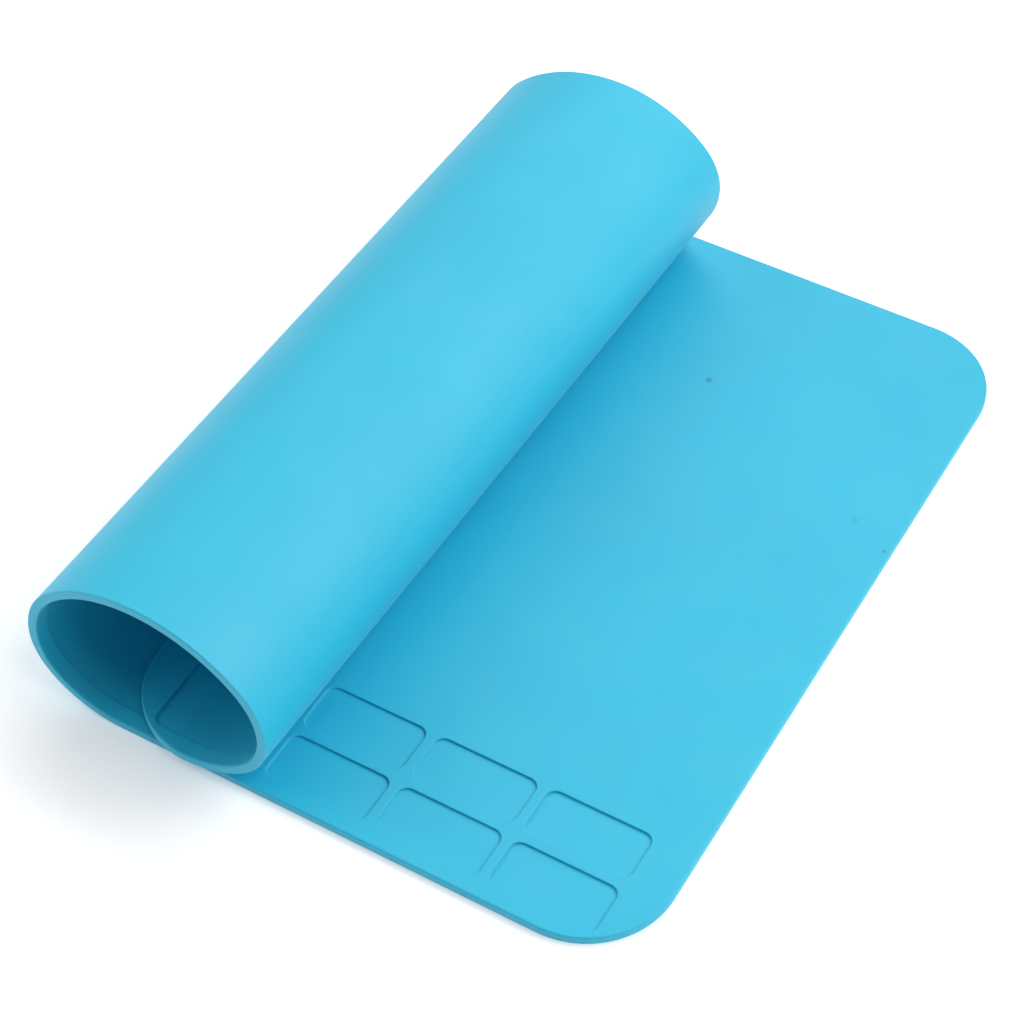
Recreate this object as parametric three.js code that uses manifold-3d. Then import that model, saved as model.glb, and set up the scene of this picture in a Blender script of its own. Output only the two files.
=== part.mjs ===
// Silicone soldering mat, lying partly rolled up on a level floor.
// Millimetres, +Z up. The flat end points toward +X and the roll runs along Y.
// The mat is made flat, with its recesses cut, and then bent into the roll.
import * as THREE from 'three';
import { mergeVertices } from 'three/addons/utils/BufferGeometryUtils.js';
import Module from 'manifold-3d';

// The flat mat
const matLength = 293;
const matWidth = 200;
const matThickness = 2.3;
const cornerRadius = 21;

// Small pockets at the flat end, in columns along the length and rows along the width
const pocketLength = 25;
const pocketWidth = 12.5;
const pocketDepth = 0.6;
const pocketCornerRadius = 2.4;
const ribWidth = 2.5;
const endMargin = 10;
const sideMargin = 4;
const pocketColumns = 3;
const pocketRows = 2;

// The roll: outer radii of eight arcs, each an eighth of a turn, from the floor
// up the outer side, over the top and down again onto the flat part
const nearRollRadii = [22.9, 17.9, 25.2, 34.8, 34.4, 19.6, 18.7, 25.3];
const farRollRadii = [27, 14.8, 19, 41.2, 35.2, 16.2, 20.5, 14.8];
const nearEndPastCurl = 2.8;
const farEndPastCurl = 5.9;
const layerClearance = 0.3;

// The roll doesn't lie quite square to the mat, so the inner layer ends a little to the side
const rollYaw = THREE.MathUtils.degToRad(0.66);

// Fineness of the facets
const cornerSegments = 10;
const pocketCornerSegments = 3;
const bendStep = 3;

const arcSweep = Math.PI / 4;
const upward = new THREE.Vector3(0, 0, 1);
const cutOverhang = 1;
const mergeTolerance = 1e-5;

const wasm = await Module();
wasm.setup();

function roundedRectangle(x0, y0, x1, y1, radius) {
  const shape = new THREE.Shape();
  shape.absarc(x1 - radius, y0 + radius, radius, -Math.PI / 2, 0);
  shape.absarc(x1 - radius, y1 - radius, radius, 0, Math.PI / 2);
  shape.absarc(x0 + radius, y1 - radius, radius, Math.PI / 2, Math.PI);
  shape.absarc(x0 + radius, y0 + radius, radius, Math.PI, 1.5 * Math.PI);
  return shape;
}

function slab(shape, bottom, depth, curveSegments) {
  const geometry = new THREE.ExtrudeGeometry(shape, { depth, curveSegments, bevelEnabled: false });
  geometry.translate(0, 0, bottom);
  geometry.deleteAttribute('normal');
  geometry.deleteAttribute('uv');
  const merged = mergeVertices(geometry, mergeTolerance);
  return new wasm.Manifold(new wasm.Mesh({
    numProp: 3,
    vertProperties: new Float32Array(merged.getAttribute('position').array),
    triVerts: new Uint32Array(merged.getIndex().array),
  }));
}

function recess(x0, y0, x1, y1) {
  const shape = roundedRectangle(x0, y0, x1, y1, pocketCornerRadius);
  const bottom = matThickness - pocketDepth;
  return slab(shape, bottom, pocketDepth + cutOverhang, pocketCornerSegments);
}

// Along the flat mat x is the distance from its flat end
function flatMat() {
  const outline = roundedRectangle(0, 0, matLength, matWidth, cornerRadius);
  let mat = slab(outline, 0, matThickness, cornerSegments);
  for (let column = 0; column < pocketColumns; column += 1) {
    for (let row = 0; row < pocketRows; row += 1) {
      const x = endMargin + column * (pocketLength + ribWidth);
      const y = sideMargin + row * (pocketWidth + ribWidth);
      mat = mat.subtract(recess(x, y, x + pocketLength, y + pocketWidth));
    }
  }
  return mat.subtract(longTray());
}

// One tray, as wide as the rows of pockets together, fills the rest of the length
function longTray() {
  const start = endMargin + pocketColumns * (pocketLength + ribWidth);
  const width = pocketRows * pocketWidth + (pocketRows - 1) * ribWidth;
  return recess(start, sideMargin, matLength - endMargin, sideMargin + width);
}

// A side view of the roll: arcs turning clockwise, followed by a straight free end.
// The mat ends so far along, measured square to the roll.
function rollSection(radii, endPastCurl, matEnd) {
  const innerRadius = radii[0] - matThickness;
  const reach = Math.max(endPastCurl, 0);
  const curlRise = innerRadius - Math.sqrt(innerRadius ** 2 - reach ** 2);
  const restHeight = matThickness + layerClearance + curlRise;
  const heading = (index) => Math.PI - index * arcSweep;
  const climb = (radius, index) => radius * (Math.cos(heading(index + 1)) - Math.cos(heading(index)));
  const advance = (radius, index) => radius * (Math.sin(heading(index)) - Math.sin(heading(index + 1)));

  const halfway = radii.length / 2;
  const climbs = radii.map(climb);
  const rise = climbs.slice(0, halfway).reduce((sum, value) => sum + value, 0);
  const drop = climbs.slice(halfway).reduce((sum, value) => sum - value, 0);
  const dropScale = (rise - restHeight) / drop;
  const closedRadii = radii.map((radius, index) => (index < halfway ? radius : radius * dropScale));

  const arcLength = (radius) => (radius - matThickness / 2) * arcSweep;
  const rollLength = closedRadii.map(arcLength).reduce((sum, value) => sum + value, 0);
  const rollAdvance = closedRadii.map(advance).reduce((sum, value) => sum + value, 0);
  const flatLength = matEnd - rollLength - rollAdvance - endPastCurl;

  const arcs = [];
  let along = flatLength;
  let x = -flatLength;
  let z = 0;
  closedRadii.forEach((radius, index) => {
    arcs.push({ along, x, z, radius, length: arcLength(radius), start: heading(index) });
    along += arcLength(radius);
    x += advance(radius, index);
    z += climb(radius, index);
  });
  return { arcs, flatLength, rollEnd: along, endX: x, endZ: z };
}

// A point of the flat mat, so far along the side view and so high, as it lies there once bent
function bentPoint(section, along, height) {
  if (along <= section.flatLength) {
    return [-along, height];
  }
  if (along >= section.rollEnd) {
    return [section.endX - (along - section.rollEnd), section.endZ + height];
  }
  const arc = section.arcs.findLast((candidate) => candidate.along <= along);
  const heading = arc.start - arcSweep * ((along - arc.along) / arc.length);
  const x = arc.x + arc.radius * (Math.sin(arc.start) - Math.sin(heading));
  const z = arc.z + arc.radius * (Math.cos(heading) - Math.cos(arc.start));
  return [x + height * Math.sin(heading), z - height * Math.cos(heading)];
}

// Cuts a polygon at one distance along the mat and gives the part before it and the part after
function splitPolygon(polygon, cut) {
  const before = [];
  const after = [];
  polygon.forEach((point, index) => {
    const next = polygon[(index + 1) % polygon.length];
    if (point.x <= cut) {
      before.push(point);
    }
    if (point.x >= cut) {
      after.push(point);
    }
    if ((point.x - cut) * (next.x - cut) < 0) {
      const [low, high] = point.x < next.x ? [point, next] : [next, point];
      const crossing = low.clone().lerp(high, (cut - low.x) / (high.x - low.x));
      crossing.x = cut;
      before.push(crossing);
      after.push(crossing);
    }
  });
  return [before, after];
}

function sliceTriangle(triangle, cuts) {
  const pieces = [];
  let rest = triangle;
  for (const cut of cuts) {
    const [before, after] = splitPolygon(rest, cut);
    if (before.length > 2) {
      pieces.push(before);
    }
    rest = after;
  }
  if (rest.length > 2) {
    pieces.push(rest);
  }
  return pieces;
}

// The triangles of the flat mat, turned so that x is measured square to the roll
function meshTriangles(manifold) {
  const { vertProperties, triVerts } = manifold.getMesh();
  const point = (index) => (
    new THREE.Vector3().fromArray(vertProperties, 3 * index).applyAxisAngle(upward, -rollYaw)
  );
  const triangles = [];
  for (let index = 0; index < triVerts.length; index += 3) {
    triangles.push([point(triVerts[index]), point(triVerts[index + 1]), point(triVerts[index + 2])]);
  }
  return triangles;
}

// The mat is cut across at even steps, so that its faces follow the bend
function bendCuts(sections) {
  const start = Math.min(...sections.map((section) => section.flatLength));
  const end = Math.max(...sections.map((section) => section.rollEnd));
  const count = Math.ceil((end - start) / bendStep);
  return Array.from({ length: count + 1 }, (_, index) => start + ((end - start) * index) / count);
}

function bentMatGeometry() {
  const nearMatEnd = matLength * Math.cos(rollYaw);
  const farMatEnd = nearMatEnd + matWidth * Math.sin(rollYaw);
  const near = rollSection(nearRollRadii, nearEndPastCurl, nearMatEnd);
  const far = rollSection(farRollRadii, farEndPastCurl, farMatEnd);
  const cuts = bendCuts([near, far]);
  const positions = [];
  const bend = (point) => {
    const [nearX, nearZ] = bentPoint(near, point.x, point.z);
    const [farX, farZ] = bentPoint(far, point.x, point.z);
    const share = point.clone().applyAxisAngle(upward, rollYaw).y / matWidth;
    const x = nearX + (farX - nearX) * share;
    const z = nearZ + (farZ - nearZ) * share;
    return new THREE.Vector3(x, point.y, z).applyAxisAngle(upward, -rollYaw).toArray();
  };
  for (const triangle of meshTriangles(flatMat())) {
    for (const piece of sliceTriangle(triangle, cuts)) {
      const bent = piece.map(bend);
      for (let index = 1; index < bent.length - 1; index += 1) {
        // The flat mat runs toward -X once it lies in the side view, which mirrors it
        positions.push(...bent[0], ...bent[index + 1], ...bent[index]);
      }
    }
  }
  const geometry = new THREE.BufferGeometry();
  geometry.setAttribute('position', new THREE.Float32BufferAttribute(positions, 3));
  return mergeVertices(geometry, mergeTolerance);
}

// The origin is at the middle of the footprint, on the floor
function centred(geometry) {
  geometry.computeBoundingBox();
  const middle = geometry.boundingBox.getCenter(new THREE.Vector3());
  geometry.translate(-middle.x, -middle.y, -geometry.boundingBox.min.z);
  geometry.computeVertexNormals();
  return geometry;
}

const silicone = new THREE.MeshStandardMaterial({
  name: 'silicone_blue',
  color: 0x55c8ea,
  roughness: 0.6,
  metalness: 0,
});

const mat = new THREE.Mesh(centred(bentMatGeometry()), silicone);
mat.name = 'mat';

const group = new THREE.Group();
group.name = 'silicone_soldering_mat';
group.add(mat);

export default group;
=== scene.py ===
"""The look of a silicone soldering mat that lies partly rolled up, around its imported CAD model.

The mat is built flat as a fine mesh with rounded arrises and filleted recesses, and is then
bent into the same roll as the CAD solid. Along the flat mat u is the distance from the flat
end, v the distance from the recessed edge and w the height above the underside.
"""

import math

import bpy
import numpy as np
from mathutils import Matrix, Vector
from mathutils.geometry import delaunay_2d_cdt


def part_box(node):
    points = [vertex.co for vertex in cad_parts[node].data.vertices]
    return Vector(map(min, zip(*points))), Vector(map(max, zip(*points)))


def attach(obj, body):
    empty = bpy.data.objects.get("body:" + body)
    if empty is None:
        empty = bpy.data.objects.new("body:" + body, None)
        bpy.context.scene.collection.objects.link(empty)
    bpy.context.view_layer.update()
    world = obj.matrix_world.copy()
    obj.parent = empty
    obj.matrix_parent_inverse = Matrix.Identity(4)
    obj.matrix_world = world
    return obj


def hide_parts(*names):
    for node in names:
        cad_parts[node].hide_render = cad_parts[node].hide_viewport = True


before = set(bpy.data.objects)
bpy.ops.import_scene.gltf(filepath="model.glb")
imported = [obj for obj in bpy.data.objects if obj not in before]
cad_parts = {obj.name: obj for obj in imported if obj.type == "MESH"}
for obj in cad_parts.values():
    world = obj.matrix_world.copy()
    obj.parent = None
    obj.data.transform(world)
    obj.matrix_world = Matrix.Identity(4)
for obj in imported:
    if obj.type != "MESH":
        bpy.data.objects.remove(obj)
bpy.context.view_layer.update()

MM = 0.001

# The flat mat, in metres
MAT_LENGTH = 293 * MM
MAT_WIDTH = 200 * MM
THICKNESS = 2.3 * MM
CORNER_RADIUS = 21 * MM
POCKET_LENGTH = 25 * MM
POCKET_WIDTH = 12.5 * MM
POCKET_DEPTH = 0.6 * MM
POCKET_CORNER_RADIUS = 2.4 * MM
RIB_WIDTH = 2.5 * MM
END_MARGIN = 10 * MM
SIDE_MARGIN = 4 * MM
POCKET_COLUMNS = 3
POCKET_ROWS = 2

# The rounding of its edges, and the width of the flat strip beside each of them
TOP_ARRIS = 0.4 * MM
BOTTOM_ARRIS = 0.35 * MM
POCKET_ARRIS = 0.25 * MM
POCKET_FILLET = 0.15 * MM
COLLAR = 0.2 * MM

# The roll: outer radii of eight arcs, each an eighth of a turn
NEAR_ROLL_RADII = np.array([22.9, 17.9, 25.2, 34.8, 34.4, 19.6, 18.7, 25.3]) * MM
FAR_ROLL_RADII = np.array([27, 14.8, 19, 41.2, 35.2, 16.2, 20.5, 14.8]) * MM
NEAR_END_PAST_CURL = 2.8 * MM
FAR_END_PAST_CURL = 5.9 * MM
LAYER_CLEARANCE = 0.3 * MM
ARC_SWEEP = math.pi / 4

# The roll doesn't lie quite square to the mat
ROLL_YAW = math.radians(0.66)

# Fineness of the mesh
STEP_ALONG = 1.5 * MM
STEP_ACROSS = 4 * MM
CORNER_SEGMENTS = 24
POCKET_CORNER_SEGMENTS = 8
ARC_STEPS = 5
FILL_ROOM = 0.4 * STEP_ALONG
FILL_TOLERANCE = 1e-7
FILL_WHOLE_HULL = 0
NORMAL_STEP = 0.01 * MM

# The silicone's colour, gloss and grain
SILICONE_DARK = (0.006, 0.455, 0.675, 1)
SILICONE_LIGHT = (0.006, 0.485, 0.705, 1)
NOISE_LOW = 0.3
NOISE_HIGH = 0.7
CLOUD_SCALE = 18
CLOUD_DETAIL = 3
SMEAR_SCALE = 60
SMEAR_DETAIL = 4
ROUGHNESS_LOW = 0.52
ROUGHNESS_HIGH = 0.6
GRAIN_SCALE = 2500
GRAIN_DETAIL = 2
GRAIN_HEIGHT = 0.006 * MM
SILICONE_IOR = 1.63
SHEEN_WEIGHT = 0.08
SHEEN_ROUGHNESS = 0.4

# Specks of dirt: how far from the flat end and from the recessed edge, radius and strength
SPECK_COLOUR = (0.004, 0.16, 0.25, 1)
SPECKS = [
    ((61.1 * MM, 155.7 * MM), 1.3 * MM, 0.8),
    ((11.3 * MM, 132.1 * MM), 1.3 * MM, 0.3),
    ((1.5 * MM, 126.8 * MM), 0.7 * MM, 0.8),
]

# Where the Mix node keeps its colour sockets
MIX_FIRST = 6
MIX_SECOND = 7
MIX_RESULT = 2

# The camera, found from the photograph
CAMERA_AZIMUTH = math.radians(30.02)
CAMERA_ELEVATION = math.radians(48.41)
CAMERA_DISTANCE = 591.4 * MM
CAMERA_LENS = 89.31
CAMERA_SENSOR = 36
TARGET_FROM_FLAT_END = 82.1 * MM
TARGET_FROM_FRONT_EDGE = 96.5 * MM

# The studio
WHITE = (1, 1, 1, 1)
FLOOR_SIZE = 8
FLOOR_COLOUR = (0.95, 0.95, 0.95, 1)
FLOOR_ROUGHNESS = 0.9
FLOOR_GLOW = 0.22
WORLD_STRENGTH = 0.15

# Softboxes: azimuth and elevation in degrees, distance and size in metres, power in watts
SOFTBOXES = {
    "back": (176, 48, 1.8, (4, 1.4), 34),
    "right": (98, 48, 1.6, (1.4, 1.4), 16.5),
    "left": (286, 32, 1.6, (1.4, 1.2), 10),
}

# The flat end and the recessed edge of the mat, from the frame
flat_end_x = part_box("mat")[1].x
front_edge_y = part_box("mat")[1].y - MAT_WIDTH


class RollSection:
    """A side view of the mat: a flat part, eight arcs that turn clockwise and a straight free end.

    The mat ends so far along, measured square to the roll.
    """

    def __init__(self, radii, end_past_curl, mat_end):
        headings = math.pi - ARC_SWEEP * np.arange(len(radii) + 1)
        climbs = radii * np.diff(np.cos(headings))
        inner_radius = radii[0] - THICKNESS
        curl_rise = inner_radius - math.sqrt(inner_radius**2 - max(end_past_curl, 0) ** 2)
        rest_height = THICKNESS + LAYER_CLEARANCE + curl_rise
        half = len(radii) // 2
        drop_scale = (climbs[:half].sum() - rest_height) / -climbs[half:].sum()
        self.radii = np.concatenate([radii[:half], radii[half:] * drop_scale])
        self.headings = headings
        self.lengths = (self.radii - THICKNESS / 2) * ARC_SWEEP
        advances = -self.radii * np.diff(np.sin(headings))
        climbs = self.radii * np.diff(np.cos(headings))
        flat_length = mat_end - self.lengths.sum() - advances.sum() - end_past_curl
        self.starts = flat_length + np.concatenate([[0], np.cumsum(self.lengths)])
        self.corner_x = -flat_length + np.concatenate([[0], np.cumsum(advances)])
        self.corner_z = np.concatenate([[0], np.cumsum(climbs)])

    def bend(self, along, w):
        """Where points of the flat mat lie in the side view, as x from the flat end and z."""
        arc = np.clip(np.searchsorted(self.starts, along, side="right") - 1, 0, len(self.radii) - 1)
        share = np.clip((along - self.starts[arc]) / self.lengths[arc], 0, 1)
        start = self.headings[arc]
        heading = start - ARC_SWEEP * share
        radius = self.radii[arc]
        x = self.corner_x[arc] + radius * (np.sin(start) - np.sin(heading)) + w * np.sin(heading)
        z = self.corner_z[arc] + radius * (np.cos(heading) - np.cos(start)) - w * np.cos(heading)
        before = np.minimum(along - self.starts[0], 0)
        after = np.maximum(along - self.starts[-1], 0)
        return x - before - after, z


near_mat_end = MAT_LENGTH * math.cos(ROLL_YAW)
far_mat_end = near_mat_end + MAT_WIDTH * math.sin(ROLL_YAW)
near_section = RollSection(NEAR_ROLL_RADII, NEAR_END_PAST_CURL, near_mat_end)
far_section = RollSection(FAR_ROLL_RADII, FAR_END_PAST_CURL, far_mat_end)


def lay(points):
    """Bends points (u, v, w) of the flat mat into the roll, in the frame's coordinates."""
    u, v, w = points.T
    turn_x, turn_y = math.cos(ROLL_YAW), math.sin(ROLL_YAW)
    along, across = u * turn_x + v * turn_y, v * turn_x - u * turn_y
    near_x, near_z = near_section.bend(along, w)
    far_x, far_z = far_section.bend(along, w)
    share = v / MAT_WIDTH
    x = near_x + (far_x - near_x) * share
    z = near_z + (far_z - near_z) * share
    placed_x = flat_end_x + x * turn_x + across * turn_y
    placed_y = front_edge_y + across * turn_x - x * turn_y
    return np.stack([placed_x, placed_y, z], axis=1)


def place_on_mat(u, v):
    """Where a point of the flat mat's top lies."""
    return lay(np.array([[u, v, THICKNESS]]))[0]


def lay_normals(points, normals):
    """Turns normals of the flat mat with the bend, through small steps along u, v and w."""
    along, across, up = (
        (lay(points + NORMAL_STEP * axis) - lay(points - NORMAL_STEP * axis)) / (2 * NORMAL_STEP)
        for axis in np.eye(3)
    )
    bent = (
        normals[:, :1] * np.cross(across, up)
        + normals[:, 1:2] * np.cross(up, along)
        + normals[:, 2:] * np.cross(along, across)
    )
    # The bend mirrors the mat, because u runs toward -X
    bent = -bent
    return bent / np.linalg.norm(bent, axis=1, keepdims=True)


class RoundedRectangle:
    """A rectangle with round corners that can be grown or shrunk, always with the same points."""

    def __init__(self, low, high, radius, corner_segments):
        self.low = np.array(low) + radius
        self.high = np.array(high) - radius
        self.radius = radius
        self.centres, self.directions = self._points(corner_segments)

    def _points(self, corner_segments):
        """The corner or side that each point stands off from, and the way that it stands off."""
        (x0, y0), (x1, y1) = self.low, self.high
        corners = [np.array(c) for c in ((x1, y0), (x1, y1), (x0, y1), (x0, y0))]
        centres, directions = [], []
        for index, corner in enumerate(corners):
            start = math.pi / 2 * (index - 1)
            for angle in start + np.linspace(0, math.pi / 2, corner_segments + 1):
                centres.append(corner)
                directions.append((math.cos(angle), math.sin(angle)))
            side = corners[(index + 1) % len(corners)] - corner
            count = max(1, math.ceil(np.abs(side).sum() / STEP_ALONG))
            for share in np.arange(1, count) / count:
                centres.append(corner + side * share)
                directions.append(directions[-1])
        return np.array(centres), np.array(directions)

    def loop(self, grow):
        return self.centres + self.directions * (self.radius + grow)

    def distance(self, points):
        """How far points lie outside the rectangle; less than 0 is inside."""
        beyond = np.maximum(np.maximum(self.low - points, points - self.high), 0)
        return np.linalg.norm(beyond, axis=1) - self.radius


def even_grid(low, high):
    """Points at even steps over a rectangle."""
    counts = np.ceil((high - low) / (STEP_ALONG, STEP_ACROSS)).astype(int) + 1
    axes = [np.linspace(low[k], high[k], counts[k]) for k in range(2)]
    return np.stack(np.meshgrid(*axes, indexing="ij"), axis=-1).reshape(-1, 2)


def in_fill(points, outer, holes, room=0):
    """Which points lie inside an outer loop and outside its holes; a loop is a shape and its growth."""
    shape, grow = outer
    inside = shape.distance(points) < grow - room
    for (shape, grow), _ in holes:
        inside &= shape.distance(points) > grow + room
    return inside


def loop_edges(counts):
    """The edges of closed loops with so many points each, numbered one loop after another."""
    edges, first = [], 0
    for count in counts:
        ring = first + np.arange(count)
        edges += np.stack([ring, np.roll(ring, -1)], axis=1).tolist()
        first += count
    return edges


def triangulate(flat_points, edges):
    """Triangles over flat points, as rows of their numbers, that keep the given edges."""
    coordinates = [Vector(point) for point in flat_points / MM]
    _, _, triangles, origins, _, _ = delaunay_2d_cdt(
        coordinates, edges, [], FILL_WHOLE_HULL, FILL_TOLERANCE
    )
    return np.array([[origins[corner][0] for corner in t] for t in triangles])


class FlatMesh:
    """Gathers the vertices, normals and faces of the flat mat."""

    def __init__(self):
        self.points, self.normals, self.faces = [], [], []

    def add_points(self, flat_points, height, normals):
        first = sum(len(block) for block in self.points)
        heights = np.full((len(flat_points), 1), height)
        self.points.append(np.hstack([flat_points, heights]))
        self.normals.append(normals)
        return first + np.arange(len(flat_points))

    def add_ring(self, shape, grow, height, outward, upward):
        normals = np.hstack([shape.directions * outward, np.full((len(shape.directions), 1), upward)])
        return self.add_points(shape.loop(grow), height, normals)

    def add_band(self, lower, upper):
        """Faces between two rings; they face away from the shape's middle where upper is above."""
        next_lower, next_upper = np.roll(lower, -1), np.roll(upper, -1)
        self.faces += np.stack([lower, next_lower, next_upper, upper], axis=1).tolist()

    def add_profile(self, shape, profile):
        """A strip of rings, each given as growth, height and normal, and the ids of its two ends."""
        rings = [self.add_ring(shape, *ring) for ring in profile]
        for lower, upper in zip(rings, rings[1:]):
            self.add_band(lower, upper)
        return rings[0], rings[-1]

    def add_fill(self, outer, outer_ids, holes, height, upward):
        """Triangles between an outer loop and the loops of its holes, over an even grid of points."""
        loop_ids = [outer_ids, *(hole_ids for _, hole_ids in holes)]
        ids = np.concatenate(loop_ids)
        loops = np.vstack(self.points)[ids][:, :2]
        grid = even_grid(loops.min(0), loops.max(0))
        grid = grid[in_fill(grid, outer, holes, FILL_ROOM)]
        normals = np.tile((0, 0, upward), (len(grid), 1))
        ids = np.concatenate([ids, self.add_points(grid, height, normals)])
        flat_points = np.vstack([loops, grid])
        triangles = triangulate(flat_points, loop_edges([len(ring) for ring in loop_ids]))
        middles = flat_points[triangles].mean(1)
        triangles = ids[triangles[in_fill(middles, outer, holes)]]
        self.faces += (triangles if upward > 0 else triangles[:, ::-1]).tolist()

    def to_object(self, name):
        points, normals = np.vstack(self.points), np.vstack(self.normals)
        mesh = bpy.data.meshes.new(name)
        # The faces are turned over, because the bend mirrors the mat
        mesh.from_pydata(lay(points).tolist(), [], [face[::-1] for face in self.faces])
        mesh.shade_smooth()
        mesh.normals_split_custom_set_from_vertices(lay_normals(points, normals).tolist())
        made = bpy.data.objects.new(name, mesh)
        bpy.context.scene.collection.objects.link(made)
        return made


def quarter_turn():
    return np.linspace(0, math.pi / 2, ARC_STEPS + 1)


def edge_profile():
    """Round the outer edge, from the underside to the top: growth, height, outward and upward normal."""
    profile = [(-BOTTOM_ARRIS - COLLAR, 0, 0, -1)]
    for angle in quarter_turn():
        out, down = math.sin(angle), math.cos(angle)
        profile.append((BOTTOM_ARRIS * (out - 1), BOTTOM_ARRIS * (1 - down), out, -down))
    for angle in quarter_turn():
        out, up = math.cos(angle), math.sin(angle)
        profile.append((TOP_ARRIS * (out - 1), THICKNESS - TOP_ARRIS * (1 - up), out, up))
    profile.append((-TOP_ARRIS - COLLAR, THICKNESS, 0, 1))
    return profile


def recess_profile():
    """Down the wall of a recess, from the top of the mat to the recess's floor."""
    profile = [(POCKET_ARRIS + COLLAR, THICKNESS, 0, 1)]
    for angle in quarter_turn():
        inward, up = math.sin(angle), math.cos(angle)
        profile.append((POCKET_ARRIS * (1 - inward), THICKNESS - POCKET_ARRIS * (1 - up), -inward, up))
    for angle in quarter_turn():
        inward, up = math.cos(angle), math.sin(angle)
        height = THICKNESS - POCKET_DEPTH + POCKET_FILLET * (1 - up)
        profile.append((POCKET_FILLET * (inward - 1), height, -inward, up))
    profile.append((-POCKET_FILLET - COLLAR, THICKNESS - POCKET_DEPTH, 0, 1))
    return profile


def recess_shapes():
    """The small pockets, and the long tray that fills the rest of the length beside them."""
    pitch = np.array((POCKET_LENGTH + RIB_WIDTH, POCKET_WIDTH + RIB_WIDTH))
    size = np.array((POCKET_LENGTH, POCKET_WIDTH))
    first = np.array((END_MARGIN, SIDE_MARGIN))
    corners = [first + pitch * (c, r) for c in range(POCKET_COLUMNS) for r in range(POCKET_ROWS)]
    boxes = [(corner, corner + size) for corner in corners]
    tray_low = first + pitch * (POCKET_COLUMNS, 0)
    tray_high = np.array((MAT_LENGTH - END_MARGIN, SIDE_MARGIN + pitch[1] * POCKET_ROWS - RIB_WIDTH))
    boxes.append((tray_low, tray_high))
    return [RoundedRectangle(*box, POCKET_CORNER_RADIUS, POCKET_CORNER_SEGMENTS) for box in boxes]


def make_mat():
    flat = FlatMesh()
    outline = RoundedRectangle((0, 0), (MAT_LENGTH, MAT_WIDTH), CORNER_RADIUS, CORNER_SEGMENTS)
    under_ids, top_ids = flat.add_profile(outline, edge_profile())
    holes = []
    for shape in recess_shapes():
        rim_ids, floor_ids = flat.add_profile(shape, recess_profile())
        holes.append(((shape, POCKET_ARRIS + COLLAR), rim_ids))
        floor = (shape, -POCKET_FILLET - COLLAR)
        flat.add_fill(floor, floor_ids, [], THICKNESS - POCKET_DEPTH, 1)
    flat.add_fill((outline, -TOP_ARRIS - COLLAR), top_ids, holes, THICKNESS, 1)
    flat.add_fill((outline, -BOTTOM_ARRIS - COLLAR), under_ids, [], 0, -1)
    return flat.to_object("silicone_mat")


def set_socket(tree, socket, value):
    """Gives a shader socket a value or, where that is a socket too, a link from it."""
    if isinstance(value, bpy.types.NodeSocket):
        tree.links.new(value, socket)
    else:
        socket.default_value = value


def add_node(tree, kind, **inputs):
    """A shader node with some of its inputs set or linked."""
    node = tree.nodes.new(kind)
    for name, value in inputs.items():
        set_socket(tree, node.inputs[name.replace("_", " ")], value)
    return node


def add_noise(tree, position, scale, detail):
    node = add_node(tree, "ShaderNodeTexNoise", Vector=position, Scale=scale, Detail=detail)
    return node.outputs["Fac"]


def add_range(tree, noise, low, high):
    """Spreads a noise value, which stays near its middle, between two limits."""
    node = add_node(tree, "ShaderNodeMapRange", Value=noise, To_Min=low, To_Max=high)
    node.inputs["From Min"].default_value = NOISE_LOW
    node.inputs["From Max"].default_value = NOISE_HIGH
    return node.outputs["Result"]


def add_mix(tree, factor, first, second):
    node = add_node(tree, "ShaderNodeMix", Factor=factor)
    node.data_type = "RGBA"
    set_socket(tree, node.inputs[MIX_FIRST], first)
    set_socket(tree, node.inputs[MIX_SECOND], second)
    return node.outputs[MIX_RESULT]


def add_speck(tree, position, colour, place, radius, strength):
    """Darkens the colour inside a small round speck on the mat."""
    distance = tree.nodes.new("ShaderNodeVectorMath")
    distance.operation = "DISTANCE"
    first, second = distance.inputs[:2]
    set_socket(tree, first, position)
    set_socket(tree, second, place_on_mat(*place))
    fade = add_node(tree, "ShaderNodeMapRange", Value=distance.outputs["Value"], To_Max=strength)
    fade.interpolation_type = "SMOOTHSTEP"
    fade.inputs["From Min"].default_value = radius
    fade.inputs["From Max"].default_value = 0
    return add_mix(tree, fade.outputs["Result"], colour, SPECK_COLOUR)


def silicone_material():
    material = bpy.data.materials.new("silicone_blue")
    material.use_nodes = True
    tree = material.node_tree
    shader = tree.nodes["Principled BSDF"]
    position = tree.nodes.new("ShaderNodeNewGeometry").outputs["Position"]

    # A faint cloudiness in the colour, with the specks of dirt on it
    clouds = add_noise(tree, position, CLOUD_SCALE, CLOUD_DETAIL)
    colour = add_mix(tree, add_range(tree, clouds, 0, 1), SILICONE_DARK, SILICONE_LIGHT)
    for speck in SPECKS:
        colour = add_speck(tree, position, colour, *speck)
    set_socket(tree, shader.inputs["Base Color"], colour)

    # The satin of a moulded surface: uneven gloss and a very fine grain
    smears = add_noise(tree, position, SMEAR_SCALE, SMEAR_DETAIL)
    set_socket(tree, shader.inputs["Roughness"], add_range(tree, smears, ROUGHNESS_LOW, ROUGHNESS_HIGH))
    grain = add_noise(tree, position, GRAIN_SCALE, GRAIN_DETAIL)
    bump = add_node(tree, "ShaderNodeBump", Height=grain, Strength=1, Distance=GRAIN_HEIGHT)
    set_socket(tree, shader.inputs["Normal"], bump.outputs["Normal"])

    shader.inputs["IOR"].default_value = SILICONE_IOR
    shader.inputs["Sheen Weight"].default_value = SHEEN_WEIGHT
    shader.inputs["Sheen Roughness"].default_value = SHEEN_ROUGHNESS
    return material


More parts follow.
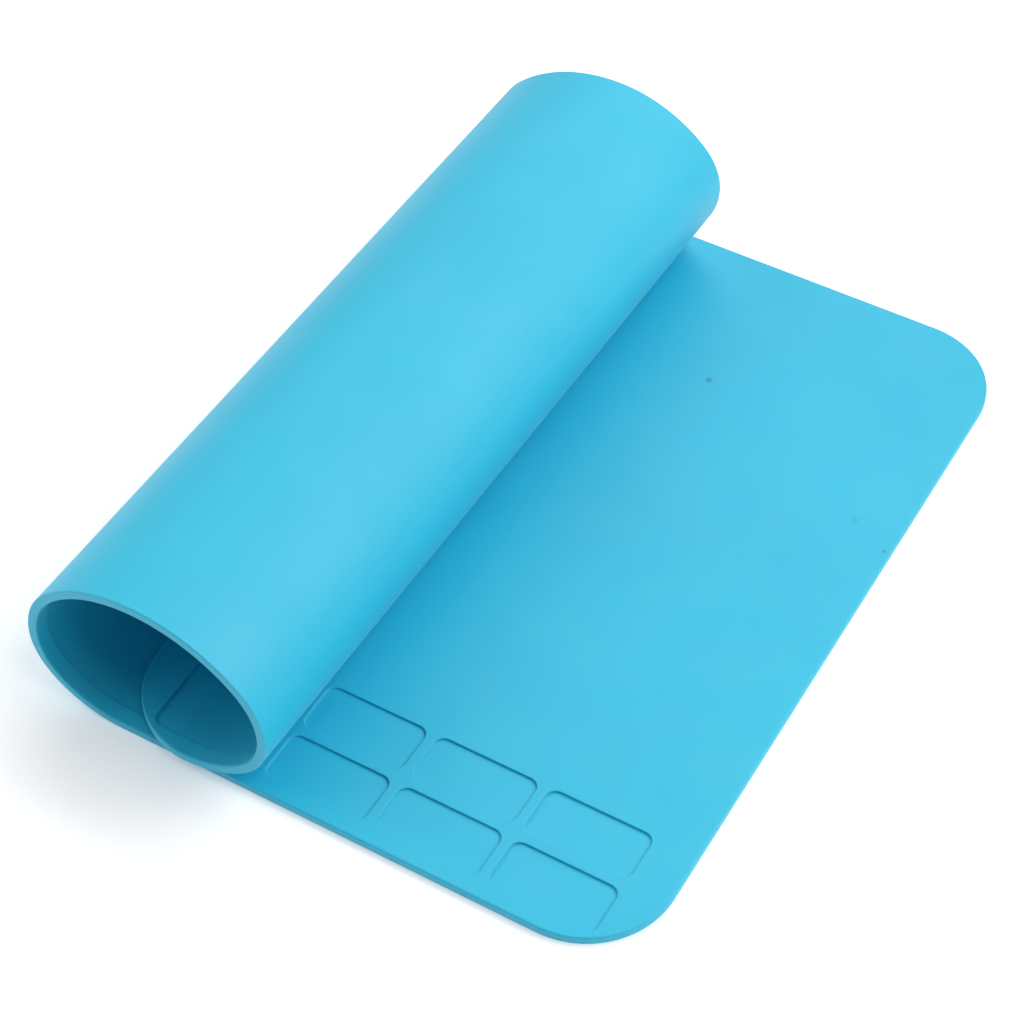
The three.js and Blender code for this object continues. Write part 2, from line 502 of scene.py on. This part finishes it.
def floor_material():
    material = bpy.data.materials.new("pale_floor")
    material.use_nodes = True
    shader = material.node_tree.nodes["Principled BSDF"]
    shader.inputs["Base Color"].default_value = FLOOR_COLOUR
    shader.inputs["Roughness"].default_value = FLOOR_ROUGHNESS
    shader.inputs["Emission Color"].default_value = WHITE
    shader.inputs["Emission Strength"].default_value = FLOOR_GLOW
    return material


def make_floor():
    bpy.ops.mesh.primitive_plane_add(size=FLOOR_SIZE)
    floor = bpy.context.object
    floor.name = "floor"
    floor.data.materials.append(floor_material())


def add_aimed(name, data, target, azimuth, elevation, distance):
    """A light or camera that looks at a target, from an angle round it and above the floor."""
    flat = math.cos(elevation)
    back = Vector((math.sin(azimuth) * flat, -math.cos(azimuth) * flat, math.sin(elevation)))
    made = bpy.data.objects.new(name, data)
    made.location = target + back * distance
    made.rotation_euler = (-back).to_track_quat("-Z", "Y").to_euler()
    bpy.context.scene.collection.objects.link(made)
    return made


def make_light(name, azimuth, elevation, distance, size, power):
    data = bpy.data.lights.new(name, "AREA")
    data.shape = "RECTANGLE"
    data.size, data.size_y = size
    data.energy = power
    middle = Vector((0, 0, 0))
    add_aimed(name, data, middle, math.radians(azimuth), math.radians(elevation), distance)


def make_world():
    world = bpy.data.worlds.new("studio")
    world.use_nodes = True
    background = world.node_tree.nodes["Background"]
    background.inputs["Color"].default_value = WHITE
    background.inputs["Strength"].default_value = WORLD_STRENGTH
    bpy.context.scene.world = world


def make_camera():
    data = bpy.data.cameras.new("camera")
    data.sensor_width = CAMERA_SENSOR
    data.lens = CAMERA_LENS
    target = Vector((flat_end_x - TARGET_FROM_FLAT_END, front_edge_y + TARGET_FROM_FRONT_EDGE, 0))
    camera = add_aimed("camera", data, target, CAMERA_AZIMUTH, CAMERA_ELEVATION, CAMERA_DISTANCE)
    bpy.context.scene.camera = camera


def dress_mat():
    mat = make_mat()
    mat.data.materials.append(silicone_material())
    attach(mat, "root")
    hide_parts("mat")


make_camera()
make_world()
make_floor()
for name, softbox in SOFTBOXES.items():
    make_light(name, *softbox)
dress_mat()
bpy.context.scene.view_settings.view_transform = "Standard"
